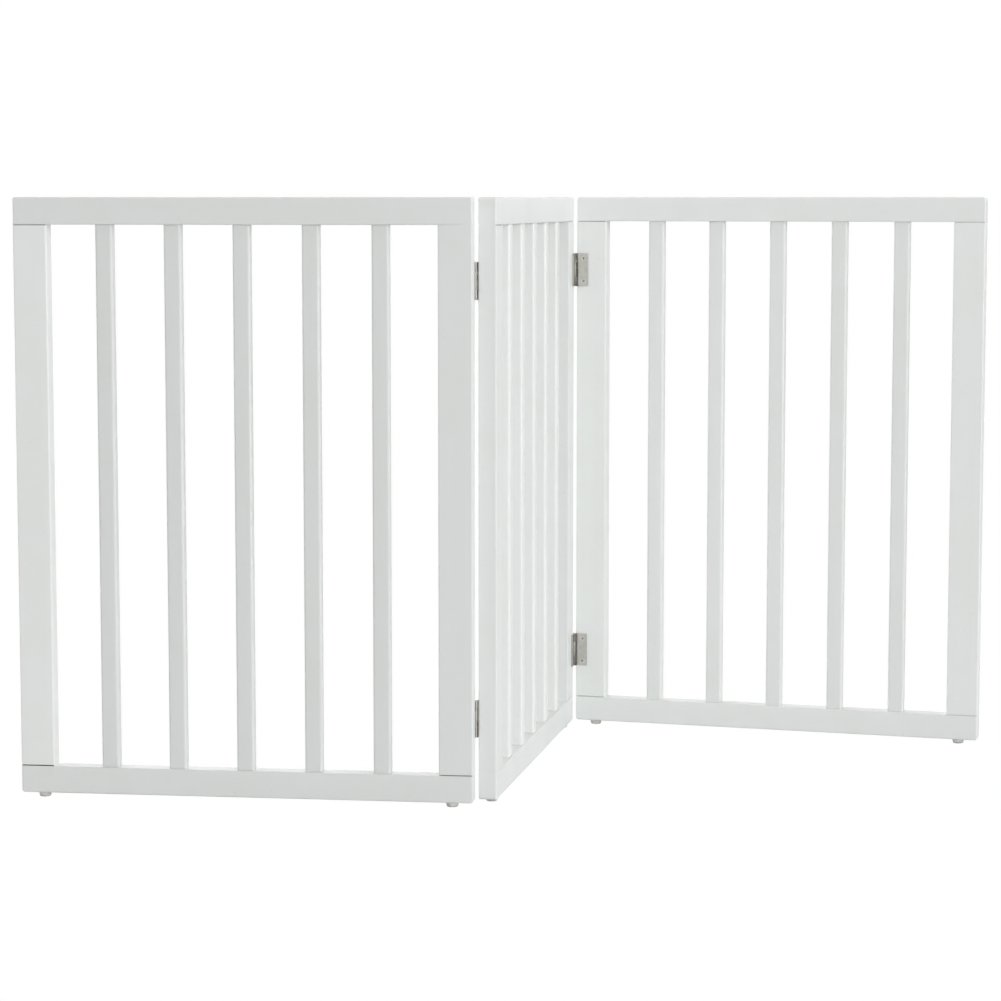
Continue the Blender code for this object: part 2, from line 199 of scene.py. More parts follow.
def finish_piece(node, bm, place, body, slot, shift, tone_and_light=0.5):
    """Turn a bmesh into a piece of the gate that stands for a CAD node and rides a body."""
    own_place = bm.verts.layers.float_vector.new("own_place")
    edge = bm.verts.layers.float.new("edge")
    # how white the paint is: the board's own tone with painted light and shade
    tone_and_light_layer = bm.verts.layers.float.new("tone_and_light")
    bm.normal_update()
    for vert in bm.verts:
        vert[own_place] = vert.co + Vector(shift)
        vert[edge] = edge_share(vert)
        vert[tone_and_light_layer] = tone_and_light
    bmesh.ops.transform(bm, matrix=place, verts=bm.verts)
    mesh = bpy.data.meshes.new("fine_" + node)
    bm.to_mesh(mesh)
    bm.free()
    mesh.shade_smooth()
    mesh.set_sharp_from_angle(angle=SHARP_TURN)
    piece = bpy.data.objects.new("fine_" + node, mesh)
    scene.collection.objects.link(piece)
    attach(piece, body)
    if node in frame["nodes"]:
        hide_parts(node)
    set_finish(piece, slot)
    made.append(piece)


def body_of(side):
    """The CAD body that a panel belongs to."""
    return side + "_panel"


print("A turn of", round(math.degrees(EDGE_TURN)), "degrees is a full edge")

# %% [markdown]
# ## Rails
#
# A rail is a planed pine bar, 465 x 18.5 x 27.5 mm, with softened edges and rounder outer
# corners, because children and dogs run into it.  It could be a cube with a Bevel modifier,
# but the edges need three different radii.  So the outer corners are bevelled first, and the
# Bevel modifier then takes its width from a weight on each edge.  Cuts just inside the
# roundings keep the shading and the wear of an edge off the flat faces.

# %% Shape a rail
STILE_WIDTH = 0.0345
CORNER_RADIUS = 0.0028      # outer corners, seen from the front
CORNER_STEPS = 6
EDGE_RADIUS = 0.0016        # long outer edges
EDGE_STEPS = 4
INNER_SHARE = 0.7           # rounding of the inner edges between the stiles
JOINT_SHARE = 0.3           # and where a stile butts on
FLAT_MARGIN = 0.0004        # from the end of a rounding to the cut inside it
INNER_CUT = 0.11            # share of a rail's height from its inner face to one more cut
CLOSED_GROOVE = 0.0002      # a joint no wider than this is still closed by the paint


def rounded_by_weight(bm, share_of_edge, radius):
    """Round each edge by its share of a radius, and return a new bmesh."""
    layer = bm.edges.layers.float.new("bevel_weight_edge")
    for edge in bm.edges:
        edge[layer] = share_of_edge(edge.verts[0].co, edge.verts[1].co)
    mesh = bpy.data.meshes.new("work")
    bm.to_mesh(mesh)
    bm.free()
    work = bpy.data.objects.new("work", mesh)
    scene.collection.objects.link(work)
    rounding = work.modifiers.new("rounding", "BEVEL")
    rounding.limit_method = "WEIGHT"
    rounding.width = radius
    rounding.segments = EDGE_STEPS
    evaluated = work.evaluated_get(bpy.context.evaluated_depsgraph_get())
    rounded = bmesh.new()
    rounded.from_mesh(evaluated.data)
    bpy.data.objects.remove(work)
    bpy.data.meshes.remove(mesh)
    return rounded


def joint_share(groove):
    """Rounding at a joint: none where the paint still closes it."""
    return JOINT_SHARE if groove > CLOSED_GROOVE else 0.0


def rail_shape(low, high, outer, grooves):
    """One rail between two heights; outer is its outer edge, grooves its joints' widths."""
    bm = bmesh.new()
    add_block(bm, (0, 0, low), (PANEL_WIDTH, PANEL_THICKNESS, high))
    corners = [
        edge for edge in bm.edges
        if abs(edge.verts[0].co.y - edge.verts[1].co.y) > TINY
        and abs(edge.verts[0].co.z - outer) < TINY
    ]
    round_edges(bm, corners, CORNER_RADIUS, CORNER_STEPS)
    cut_across(bm, 0, (STILE_WIDTH, PANEL_WIDTH - STILE_WIDTH))
    inner = low + high - outer

    def share(start, end):
        if abs(start.y - end.y) > TINY:
            return 0.0
        middle = (start + end) / 2
        on_face = min(middle.y, PANEL_THICKNESS - middle.y) < TINY
        near_end = min(middle.x, PANEL_WIDTH - middle.x) < CORNER_RADIUS
        on_rim = near_end or abs(middle.z - outer) < TINY
        if abs(start.z - inner) < TINY and abs(end.z - inner) < TINY:
            if STILE_WIDTH < middle.x < PANEL_WIDTH - STILE_WIDTH:
                return INNER_SHARE
            return joint_share(grooves[0] if middle.x < STILE_WIDTH else grooves[1])
        return 1.0 if on_face and on_rim else 0.0

    bm = rounded_by_weight(bm, share, EDGE_RADIUS)
    margin = EDGE_RADIUS + FLAT_MARGIN
    end_margin = CORNER_RADIUS + FLAT_MARGIN
    cut_across(bm, 0, (end_margin, PANEL_WIDTH - end_margin))
    cut_across(bm, 1, (margin, PANEL_THICKNESS - margin))
    cut_across(bm, 2, (low + margin, high - margin, inner + (outer - inner) * INNER_CUT))
    return bm


print("A rail's corners are rounded by", CORNER_RADIUS * 1000, "mm")

# %% [markdown]
# ## Set out the rails
#
# No two boards of a painted frame are alike.  Each joint has opened to a line of its own width,
# and each board has its own grain and its own white.  That white is partly the board's own tone
# and partly painted light and shade, greyer or whiter from panel to panel.  Tables hold these
# differences.

# %% Build the six rails
GROOVES = {                 # panel, end: width of the bottom joint and of the top one
    ("left", "left"): (0.00095, 0.00065),
    ("left", "right"): (0.00080, 0.00003),
    ("middle", "left"): (0.00030, 0.00060),
    ("middle", "right"): (0.00050, 0.00050),
    ("right", "left"): (0.00055, 0.00055),
    ("right", "right"): (0.00035, 0.00040),
}
RAIL_TONE_AND_LIGHT = {"left": 0.27, "middle": 0.48, "right": 0.70}  # how white the paint is, 0 to 1: the board's own tone with painted light and shade
GRAIN_STEP = (0.171, 0.083, 0.119)
GRAIN_LENGTH = 0.75         # added along the board, which is longer than any board
board_count = 0


def next_shift(along):
    """Move each board's grain to its own stretch of timber."""
    global board_count
    board_count += 1
    shift = Vector([step * board_count for step in GRAIN_STEP])
    shift[along] += GRAIN_LENGTH * board_count
    return shift


for side in SIDES:
    for level, row in (("bottom", 0), ("top", 1)):
        node = f"{side}_{level}_rail"
        low, high = (corner.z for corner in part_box(node))
        outer = high if level == "top" else low
        grooves = [GROOVES[side, end][row] for end in ("left", "right")]
        finish_piece(
            node, rail_shape(low, high, outer, grooves), places[side], body_of(side),
            "rail", next_shift(0), RAIL_TONE_AND_LIGHT[side],
        )
print("Rails:", len(made))

# %% [markdown]
# ## Stiles
#
# A stile stands between the two rails at each end of a panel.  Where it butts on, the paint
# has cracked open to a thin dark line on the front and the back.  So the stile is made a hair
# short, and a tongue is extruded from the middle of each end to close the joint.  The tongue
# keeps an attribute of painted shade, which darkens the paint's colour down in a wide groove.

# %% Shape a stile
GROOVE_DEPTH = 0.0014
WIDEST_GROOVE = max(max(widths) for widths in GROOVES.values())
FACING = 0.9                # a normal with this share along an axis faces that way


def add_tongue(bm, height, reach):
    """Extrude the middle strip of the end at one height, to close the joint."""
    strip = [
        face for face in bm.faces
        if abs(face.calc_center_median().z - height) < TINY and abs(face.normal.z) > FACING
        and GROOVE_DEPTH < face.calc_center_median().y < PANEL_THICKNESS - GROOVE_DEPTH
    ]
    root = {vert for face in strip for vert in face.verts}
    grown = bmesh.ops.extrude_face_region(bm, geom=strip)["geom"]
    moved = [item for item in grown if isinstance(item, bmesh.types.BMVert)]
    bmesh.ops.delete(bm, geom=strip, context="FACES")
    bmesh.ops.translate(bm, vec=(0, 0, reach), verts=moved)
    # painted shade in the groove: darker the wider the joint
    seam_shade = bm.verts.layers.float["seam_shade"]
    for vert in moved + [vert for vert in root if vert.is_valid]:
        if min(vert.co.x, STILE_WIDTH - vert.co.x) > TINY:
            vert[seam_shade] = min(1.0, abs(reach) / WIDEST_GROOVE)


def stile_shape(low, high, grooves):
    """One stile between the rails, with a groove of its own width at each end."""
    low_end = low + grooves[0]
    high_end = high - grooves[1]
    bm = bmesh.new()
    add_block(bm, (0, 0, low_end), (STILE_WIDTH, PANEL_THICKNESS, high_end))

    def share(start, end):
        if abs(start.z - end.z) > STILE_WIDTH:
            return 1.0
        groove = grooves[0] if start.z < (low + high) / 2 else grooves[1]
        return joint_share(groove) if abs(start.x - end.x) > TINY else 0.0

    bm = rounded_by_weight(bm, share, EDGE_RADIUS)
    bm.verts.layers.float.new("seam_shade")
    margin = EDGE_RADIUS + FLAT_MARGIN
    cut_across(bm, 0, (margin, STILE_WIDTH - margin))
    cut_across(bm, 1, (GROOVE_DEPTH, PANEL_THICKNESS - GROOVE_DEPTH))
    cut_across(bm, 1, (margin, PANEL_THICKNESS - margin))
    cut_across(bm, 2, (low_end + margin, high_end - margin))
    add_tongue(bm, low_end, -grooves[0])
    add_tongue(bm, high_end, grooves[1])
    return bm


print("The widest groove is", WIDEST_GROOVE * 1000, "mm")

# %% [markdown]
# ## Stand the stiles between the rails
#
# The stiles' heights are read from the rails' own boxes in the CAD model, so no gap can open.

# %% Build the six stiles
# how white each stile's paint is: its own tone with painted light and shade
STILE_TONE_AND_LIGHT = dict(zip(GROOVES, (0.72, 0.29, 0.45, 0.38, 0.75, 0.85)))


def inner_heights(side):
    """Height of the bottom rail's upper face and the top rail's lower face."""
    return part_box(side + "_bottom_rail")[1].z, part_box(side + "_top_rail")[0].z


for (side, end), grooves in GROOVES.items():
    node = f"{side}_{end}_stile"
    low, high = inner_heights(side)
    x = 0.0 if end == "left" else PANEL_WIDTH - STILE_WIDTH
    spot = places[side] @ Matrix.Translation((x, 0, 0))
    finish_piece(
        node, stile_shape(low, high, grooves), spot, body_of(side),
        "stile", next_shift(2), STILE_TONE_AND_LIGHT[side, end],
    )
print("Rails and stiles:", len(made))

# %% [markdown]
# ## Slats
#
# Five thinner bars stand between the stiles, set back from both faces.  Their long edges are
# rounder than the frame's, as they come from a moulder.  One shape serves all fifteen.  Only
# the grain changes from slat to slat, and the whiteness of the paint from panel to panel.  That
# whiteness is the paint's own tone together with painted light and shade.

# %% Build the fifteen slats
SLAT_COUNT = 5
SLAT_WIDTH = 0.0175
SLAT_THICKNESS = 0.0135
SLAT_PITCH = 0.070
SLAT_EDGE_RADIUS = 0.0022
SLAT_END_RADIUS = 0.0005    # leaves a fine line where the slat meets a rail
SLAT_END_STEPS = 2
# how white the slats' paint is on each panel: its own tone with painted light and shade
SLAT_TONE_AND_LIGHT = {"left": 0.12, "middle": 0.68, "right": 0.57}


def slat_shape(low, high):
    """One slat with four rounded long edges and eased ends."""
    bm = bmesh.new()
    add_block(bm, (0, 0, low), (SLAT_WIDTH, SLAT_THICKNESS, high))
    uprights = [edge for edge in bm.edges if abs(edge.verts[0].co.z - edge.verts[1].co.z) > TINY]
    round_edges(bm, uprights, SLAT_EDGE_RADIUS, EDGE_STEPS)
    rims = [edge for edge in bm.edges if abs(edge.verts[0].co.z - edge.verts[1].co.z) < TINY]
    round_edges(bm, rims, SLAT_END_RADIUS, SLAT_END_STEPS)
    margin = SLAT_EDGE_RADIUS + FLAT_MARGIN
    cut_across(bm, 0, (margin, SLAT_WIDTH - margin))
    cut_across(bm, 1, (margin, SLAT_THICKNESS - margin))
    cut_across(bm, 2, (low + margin, high - margin))
    return bm


first_slat = (PANEL_WIDTH - SLAT_WIDTH - (SLAT_COUNT - 1) * SLAT_PITCH) / 2
set_back = (PANEL_THICKNESS - SLAT_THICKNESS) / 2
for side in SIDES:
    low, high = inner_heights(side)
    for number in range(SLAT_COUNT):
        node = f"{side}_slat_{number + 1}"
        spot = places[side] @ Matrix.Translation((first_slat + number * SLAT_PITCH, set_back, 0))
        finish_piece(
            node, slat_shape(low, high), spot, body_of(side),
            "slat", next_shift(2), SLAT_TONE_AND_LIGHT[side],
        )
print("Woodwork pieces:", len(made))

# %% [markdown]
# ## Feet
#
# Under both ends of each panel a small rubber glide keeps the wood off the floor.  It is round,
# so a profile is drawn and spun about the upright axis.  Its underside is dished and shows
# the head of the nail that holds it.

# %% Build the six feet
FOOT_HEIGHT = 0.005
FOOT_TOP_RADIUS = 0.0068
FOOT_BOTTOM_RADIUS = 0.0058
FOOT_EDGE = 0.0011          # rounding at the floor
FOOT_COLLAR = 0.0003        # and at the rail
FOOT_SIDES = 48
DISH_RADIUS = 0.0036
DISH_DEPTH = 0.0009
DISH_LIP = 0.0003
DISH_CHAMFER = 0.0002
NAIL_RADIUS = 0.0019
NAIL_DOME = ((0.8, 0.55), (0.0, 0.4))   # shares of the nail's radius and the dish's depth
MOTTLE_STEP = 0.01          # moves a pattern on from one piece to the next


def quarter_turn(centre_radius, centre_height, radius, start, steps):
    """Points of a quarter circle, clockwise from an angle in degrees."""
    points = []
    for step in range(steps + 1):
        angle = math.radians(start - 90 * step / steps)
        across = centre_radius + radius * math.cos(angle)
        points.append((across, centre_height + radius * math.sin(angle)))
    return points


def foot_shape():
    """One glide, with its top at z = 0 against the rail."""
    profile = [(0.0, 0.0)]
    profile += quarter_turn(FOOT_TOP_RADIUS - FOOT_COLLAR, -FOOT_COLLAR, FOOT_COLLAR, 90, 3)
    profile += quarter_turn(
        FOOT_BOTTOM_RADIUS - FOOT_EDGE, FOOT_EDGE - FOOT_HEIGHT, FOOT_EDGE, 0, 5,
    )
    profile += [
        (DISH_RADIUS + DISH_LIP, -FOOT_HEIGHT),
        (DISH_RADIUS, DISH_CHAMFER - FOOT_HEIGHT),
        (NAIL_RADIUS + DISH_CHAMFER, DISH_DEPTH - FOOT_HEIGHT),
        (NAIL_RADIUS, DISH_DEPTH - FOOT_HEIGHT),
    ]
    for across, up in NAIL_DOME:
        profile.append((NAIL_RADIUS * across, DISH_DEPTH * up - FOOT_HEIGHT))
    return turned(profile, FOOT_SIDES)


for side in SIDES:
    for end, x in (("left", FOOT_INSET), ("right", PANEL_WIDTH - FOOT_INSET)):
        node = f"{side}_{end}_foot"
        spot = places[side] @ Matrix.Translation((x, PANEL_THICKNESS / 2, FOOT_HEIGHT))
        shift = (MOTTLE_STEP * len(made), 0, 0)
        finish_piece(node, foot_shape(), spot, body_of(side), "foot", shift)
print("With feet:", len(made))

# %% [markdown]
# ## Hinge leaves
#
# A butt hinge is stamped from sheet metal: tabs on one side of each leaf are rolled round the
# pin.  The model is made the same way.  A thin plate is cut into strips, the tabs are spun
# about the pin's axis, and the two countersunk holes are bridged from the front face to the
# back.  The leaf's own frame has the pin as its Z axis, x across the leaf and y out of the wood.

# %% Tools for a hinge leaf
HINGE_HALF = 0.01875        # half a hinge's height
LEAF_REACH = 0.0146         # pin axis to the leaf's free edge
LEAF_THICKNESS = 0.00095
LEAF_BASE = -0.0014         # the leaf's wood side
LEAF_FACE = LEAF_BASE + LEAF_THICKNESS
BARREL_RADIUS = 0.00215
BORE_RADIUS = 0.0012
SEAM_ANGLE = math.radians(8)    # left open where the rolled tab meets the plate
ROLL_STEPS = 26
SCREW_REACH = 0.0092        # pin axis to the screws
HOLE_RADIUS = 0.0031
HOLE_FOOT_RADIUS = 0.0023
HOLE_SIDES = 32
HOLE_CELL = 0.0037          # half the square of plate around a hole


def faces_near(bm, test):
    """Faces whose middle passes a test."""
    return [face for face in bm.faces if test(face.calc_center_median())]


def punch_hole(bm, z):
    """Open a countersunk hole through the square of plate around a screw."""
    rims = []
    for y, radius in ((LEAF_FACE, HOLE_RADIUS), (LEAF_BASE, HOLE_FOOT_RADIUS)):
        spot = Vector((SCREW_REACH, y, z))
        cell = faces_near(bm, lambda middle: (middle - spot).length < TINY)[0]
        bmesh.ops.bisect_edges(bm, edges=list(cell.edges), cuts=HOLE_SIDES // 4 - 1)
        inset = HOLE_CELL / 20
        bmesh.ops.inset_individual(bm, faces=[cell], thickness=inset, use_even_offset=True)
        for vert in cell.verts:
            vert.co = spot + (vert.co - spot).normalized() * radius
        rims += list(cell.edges)
        bmesh.ops.delete(bm, geom=[cell], context="FACES_ONLY")
    bmesh.ops.bridge_loops(bm, edges=rims)


def roll_knuckle(bm, tab):
    """Lead one tab of the plate to the barrel and roll it round the pin."""
    start = math.asin(LEAF_BASE / BARREL_RADIUS)
    grown = bmesh.ops.extrude_discrete_faces(bm, faces=[tab])["faces"][0]
    for vert in grown.verts:
        radius = BORE_RADIUS if vert.co.y > (LEAF_BASE + LEAF_FACE) / 2 else BARREL_RADIUS
        vert.co.x = radius * math.cos(start)
        vert.co.y = radius * math.sin(start)
    geom = list(grown.verts) + list(grown.edges) + [grown]
    bmesh.ops.spin(
        bm, geom=geom, axis=(0, 0, 1), cent=(0, 0, 0),
        angle=-(math.tau - SEAM_ANGLE + start), steps=ROLL_STEPS, use_merge=False,
    )


print("A hinge is", HINGE_HALF * 2000, "mm high")

# %% [markdown]
# ## Put a leaf together
#
# One leaf has two end knuckles, and the other one middle knuckle that turns between them.  A
# leaf is closed all round, so the trial run below should find no open edges.

# %% Shape a hinge leaf
KNUCKLE_GAP = 0.0003        # clearance round the other leaf's knuckle
KNUCKLE_HALF = 0.00875      # half the middle knuckle's height
SCREW_SPACING = 0.026
STAMPED_TURN = math.radians(50)     # a turn this sharp is an edge of the stamping
STAMPED_RADIUS = 0.00012
STAMPED_STEPS = 2


def leaf_shape(knuckles):
    """A leaf with its two end knuckles or its middle one."""
    notch = BARREL_RADIUS + KNUCKLE_GAP
    gap = KNUCKLE_GAP if knuckles == "end" else 0.0
    joint = KNUCKLE_HALF + gap
    bm = bmesh.new()
    add_block(bm, (notch, LEAF_BASE, -HINGE_HALF), (LEAF_REACH, LEAF_FACE, HINGE_HALF))
    cut_across(bm, 0, (SCREW_REACH - HOLE_CELL, SCREW_REACH + HOLE_CELL))
    half = SCREW_SPACING / 2
    levels = (joint, half - HOLE_CELL, half + HOLE_CELL)
    cut_across(bm, 2, [sign * level for level in levels for sign in (-1, 1)])

    def is_tab(middle):
        outer = abs(middle.z) > joint
        return abs(middle.x - notch) < TINY and outer == (knuckles == "end")

    for end in (1, -1) if knuckles == "end" else (0,):
        tab = faces_near(bm, lambda middle: is_tab(middle) and middle.z * end >= 0)
        if len(tab) > 1:
            tab = bmesh.ops.dissolve_faces(bm, faces=tab)["region"]
        roll_knuckle(bm, tab[0])
    for z in (-half, half):
        punch_hole(bm, z)
    bmesh.ops.recalc_face_normals(bm, faces=bm.faces)
    sharp = [edge for edge in bm.edges if edge.calc_face_angle(0.0) > STAMPED_TURN]
    round_edges(bm, sharp, STAMPED_RADIUS, STAMPED_STEPS)
    return bm


for knuckles in ("end", "middle"):
    trial = leaf_shape(knuckles)
    open_edges = sum(not edge.is_manifold for edge in trial.edges)
    print(knuckles, "leaf:", len(trial.faces), "faces,", open_edges, "open edges")
    trial.free()

# %% [markdown]
# ## Screws and pins
#
# The screws are small countersunk ones with a cross recess.  The body is spun, and its top is
# left open; a cross-shaped outline is laid in it, the ring between them is bridged, and the
# cross is extruded down and drawn in, as the punch does it.  The pin is a steel rod with its
# ends peened over.

# %% Shape a screw and a pin
HEAD_RADIUS = 0.003
HEAD_DEPTH = 0.00185
SHANK_RADIUS = 0.0014
SCREW_LENGTH = 0.012
HEAD_SIDES = 32
HEAD_CHAMFER = 0.00015
TIP_LENGTH = SHANK_RADIUS * 1.6
RECESS_ARM = 0.0018         # half the cross's width
RECESS_HALF = 0.00036       # half the width of one of its arms
RECESS_DEPTH = 0.0011
RECESS_TAPER = 0.45         # size of the cross at the bottom
PIN_RADIUS = 0.00112
PIN_PROUD = 0.0003          # how far an end stands out of the barrel
PIN_DOME = 0.3              # height of the domed end, as a share of the radius
PIN_SIDES = 24


def screw_shape():
    """A screw with its head's top at z = 0, pointing down."""
    profile = [
        (HEAD_RADIUS - HEAD_CHAMFER, 0.0),
        (HEAD_RADIUS, -HEAD_CHAMFER),
        (HEAD_RADIUS - HEAD_CHAMFER, -2 * HEAD_CHAMFER),
        (SHANK_RADIUS, -HEAD_DEPTH),
        (SHANK_RADIUS, TIP_LENGTH - SCREW_LENGTH),
        (0.0, -SCREW_LENGTH),
    ]
    bm = turned(profile, HEAD_SIDES)
    rim = [edge for edge in bm.edges if edge.is_boundary]
    cross = bmesh.ops.create_grid(bm, x_segments=3, y_segments=3, size=RECESS_ARM)["verts"]
    for vert in cross:
        for axis in (0, 1):
            if abs(vert.co[axis]) < RECESS_ARM / 2:
                vert.co[axis] = math.copysign(RECESS_HALF, vert.co[axis])
    cells = [face for face in bm.faces if face.verts[0] in cross]
    corners = [
        face for face in cells
        if min(abs(across) for across in face.calc_center_median().xy) > RECESS_HALF
    ]
    bmesh.ops.delete(bm, geom=corners, context="FACES")
    cells = [face for face in cells if face.is_valid]
    grown = bmesh.ops.extrude_face_region(bm, geom=cells)["geom"]
    bmesh.ops.delete(bm, geom=cells, context="FACES")
    sunk = [item for item in grown if isinstance(item, bmesh.types.BMVert)]
    bmesh.ops.translate(bm, vec=(0, 0, -RECESS_DEPTH), verts=sunk)
    bmesh.ops.scale(bm, vec=(RECESS_TAPER, RECESS_TAPER, 1.0), verts=sunk)
    outline = [edge for edge in bm.edges if edge.is_boundary and edge not in rim]
    bmesh.ops.bridge_loops(bm, edges=rim + outline)
    bmesh.ops.recalc_face_normals(bm, faces=bm.faces)
    return bm


def pin_shape():
    """A pin a little longer than the barrel, with domed ends."""
    half = HINGE_HALF + PIN_PROUD
    dome = [
        (PIN_RADIUS * math.sin(angle), half - PIN_RADIUS * PIN_DOME * (1 - math.cos(angle)))
        for angle in map(math.radians, (0, 20, 40, 60, 80, 90))
    ]
    profile = dome + [(radius, -height) for radius, height in reversed(dome)]
    return turned(profile, PIN_SIDES)


for name, shape in (("screw", screw_shape), ("pin", pin_shape)):
    trial = shape()
    open_edges = sum(not edge.is_manifold for edge in trial.edges)
    print(name, ":", len(trial.faces), "faces,", open_edges, "open edges")
    trial.free()

# %% [markdown]
# ## Fit the hinges
#
# Each fold has two hinges.  The record's joint gives the pin's axis.  On the left fold the
# leaves lie on the panels' back faces, and on the right fold on their front faces, so that
# the gate folds up like a screen.  The CAD model leaves out one screw at the back, so the
# screw made for it here stands for no node.

# %% Fit the hinges
PIN_BODIES = {"left": "left_panel", "right": "middle_panel"}    # what a fold's pins move with
LEAVES = {                  # fold, leaf: panel, end of it, face, knuckles
    ("left", "wing"): ("left", "right", "back", "end"),
    ("left", "middle"): ("middle", "left", "back", "middle"),
    ("right", "wing"): ("right", "left", "front", "middle"),
    ("right", "middle"): ("middle", "right", "front", "end"),
}
SCREW_TURN = 37             # degrees from one screw's cross to the next one's
BRUSHING_STEP = 0.1         # moves the brushing on from one piece to the next
pin_lines = {joint["name"].split("_")[0]: joint["pos_m"] for joint in frame["joints"]}


def leaf_place(fold, level, side, end, face):
    """Matrix from a leaf's own frame to the room."""
    across = 1 if end == "left" else -1
    out = 1 if face == "back" else -1
    turn = places[side].to_3x3().to_4x4()
    lean = Matrix.Diagonal((across, out, across * out, 1))
    height = centre_of(f"{fold}_{level}_hinge_pin").z
    pin = Vector((pin_lines[fold][0], pin_lines[fold][1], height))
    return Matrix.Translation(pin) @ turn @ lean


def fit_screws(stem, spot, upright, body):
    """Put the two screws of a leaf in their holes, each stopped at its own angle."""
    for place, sign in (("top", 1), ("bottom", -1)):
        node = f"{stem}_{place}_screw"
        seat = Matrix.Translation((SCREW_REACH, LEAF_FACE, sign * upright * SCREW_SPACING / 2))
        stopped = Matrix.Rotation(math.radians(SCREW_TURN * len(made) % 90), 4, "Z")
        into = Matrix.Rotation(-math.pi / 2, 4, "X")
        finish_piece(
            node, screw_shape(), spot @ seat @ into @ stopped, body,
            "hinge_screw", (MOTTLE_STEP * len(made), 0, 0),
        )


for (fold, leaf), (side, end, face, knuckles) in LEAVES.items():
    for level in ("upper", "lower"):
        stem = f"{fold}_{level}_hinge_{leaf}"
        spot = leaf_place(fold, level, side, end, face)
        upright = round(spot.to_3x3().col[2].z)
        finish_piece(
            stem + "_leaf", leaf_shape(knuckles), spot, body_of(side),
            "hinge_leaf", (0, 0, BRUSHING_STEP * len(made)),
        )
        fit_screws(stem, spot, upright, body_of(side))

for fold, body in PIN_BODIES.items():
    for level in ("upper", "lower"):
        node = f"{fold}_{level}_hinge_pin"
        spot = Matrix.Translation((pin_lines[fold][0], pin_lines[fold][1], centre_of(node).z))
        shift = (0, 0, BRUSHING_STEP * len(made))
        finish_piece(node, pin_shape(), spot, body, "hinge_pin", shift)
print("Pieces in all:", len(made))

# %% [markdown]
# ## Building blocks for materials
#
# A material in Blender is a small network of nodes.  These helpers add one node each and join
# it up, so that a recipe reads from top to bottom.

# %% Helpers for nodes
def add_node(tree, kind, **settings):
    """Add a node and set its options."""
    node = tree.nodes.new("ShaderNode" + kind)
    for name, value in settings.items():
        setattr(node, name, value)
    return node


def feed(tree, socket, value):
    """Set a socket to a number or colour, or join it to another node's output."""
    if isinstance(value, bpy.types.NodeSocket):
        tree.links.new(value, socket)
    else:
        socket.default_value = value


def attribute(tree, name, output):
    """Read one of a piece's own attributes."""
    return add_node(tree, "Attribute", attribute_name=name).outputs[output]


def noise(tree, vector, scale, detail=2.0, roughness=0.5, distortion=0.0):
    """A smooth random pattern from 0 to 1."""
    node = add_node(tree, "TexNoise")
    names = ("Vector", "Scale", "Detail", "Roughness", "Distortion")
    for name, value in zip(names, (vector, scale, detail, roughness, distortion)):
        feed(tree, node.inputs[name], value)
    return node.outputs["Fac"]


def remap(tree, value, low, high, to_low=0.0, to_high=1.0):
    """Stretch a range of values to another, and clamp it."""
    node = add_node(tree, "MapRange", interpolation_type="SMOOTHSTEP")
    names = ("Value", "From Min", "From Max", "To Min", "To Max")
    for name, number in zip(names, (value, low, high, to_low, to_high)):
        feed(tree, node.inputs[name], number)
    return node.outputs["Result"]


def maths(tree, operation, first, second=0.0):
    """One sum on two values."""
    node = add_node(tree, "Math", operation=operation)
    feed(tree, node.inputs[0], first)
    feed(tree, node.inputs[1], second)
    return node.outputs[0]


def times(tree, first, second):
    """Multiply two values."""
    return maths(tree, "MULTIPLY", first, second)


def stretched(tree, vector, amounts):
    """Multiply coordinates or a colour by an amount for each axis."""
    node = add_node(tree, "VectorMath", operation="MULTIPLY")
    feed(tree, node.inputs[0], vector)
    feed(tree, node.inputs[1], amounts)
    return node.outputs[0]


def axes_of(tree, vector):
    """Split coordinates into their X, Y and Z."""
    node = add_node(tree, "SeparateXYZ")
    feed(tree, node.inputs[0], vector)
    return node.outputs


def blend_colours(tree, factor, first, second):
    """Go from one colour to another; each is a socket or three numbers."""
    node = add_node(tree, "Mix", data_type="RGBA")
    feed(tree, node.inputs["Factor"], factor)
    for number, colour in ((6, first), (7, second)):    # the node's two colour sockets
        is_socket = isinstance(colour, bpy.types.NodeSocket)
        feed(tree, node.inputs[number], colour if is_socket else (*colour, 1.0))
    return node.outputs[2]


def new_group(name, inputs, outputs):
    """An empty shader node group; Place and Stretch are vectors, and the rest are numbers."""
    tree = bpy.data.node_groups.new(name, "ShaderNodeTree")
    for label in inputs:
        kind = "Vector" if label in ("Place", "Stretch") else "Float"
        tree.interface.new_socket(name=label, in_out="INPUT", socket_type="NodeSocket" + kind)
    for label in outputs:
        tree.interface.new_socket(name=label, in_out="OUTPUT", socket_type="NodeSocketFloat")
    inlet = tree.nodes.new("NodeGroupInput")
    outlet = tree.nodes.new("NodeGroupOutput")
    return tree, inlet.outputs, outlet.inputs


def use_group(tree, group, **values):
    """Place a group in a material and fill in its inputs."""
    node = tree.nodes.new("ShaderNodeGroup")
    node.node_tree = group
    for label, value in values.items():
        feed(tree, node.inputs[label], value)
    return node.outputs


def new_material(name):
    """A material with only its Principled BSDF and output."""
    material = bpy.data.materials.new(name)
    material.use_nodes = True
    tree = material.node_tree
    return material, tree, tree.nodes["Principled BSDF"]


def raise_surface(tree, shader, height, depth):
    """Drive a Bump node by a height from 0 to 1, that many metres deep."""
    node = add_node(tree, "Bump")
    node.inputs["Distance"].default_value = depth
    feed(tree, node.inputs["Height"], height)
    tree.links.new(node.outputs["Normal"], shader.inputs["Normal"])


print("Node tools: noise, remap, maths and blend")

# %% [markdown]
# ## Effects that several finishes share
#
# Sprayed lacquer levels out to a faint orange peel.  Wood grain prints through it as long thin
# ridges.  Each of these is a node group that gives out values that change over the surface,
# and each finish uses it in its own way.

# %% Orange peel and wood grain
FINE_PEEL = 3.1             # the fine peel's scale beside the wide one's
WIDE_SHARE = 0.75           # of the peel's height
PORE_SCALE = 620.0          # patterns per metre
GROWTH_SCALE = 95.0

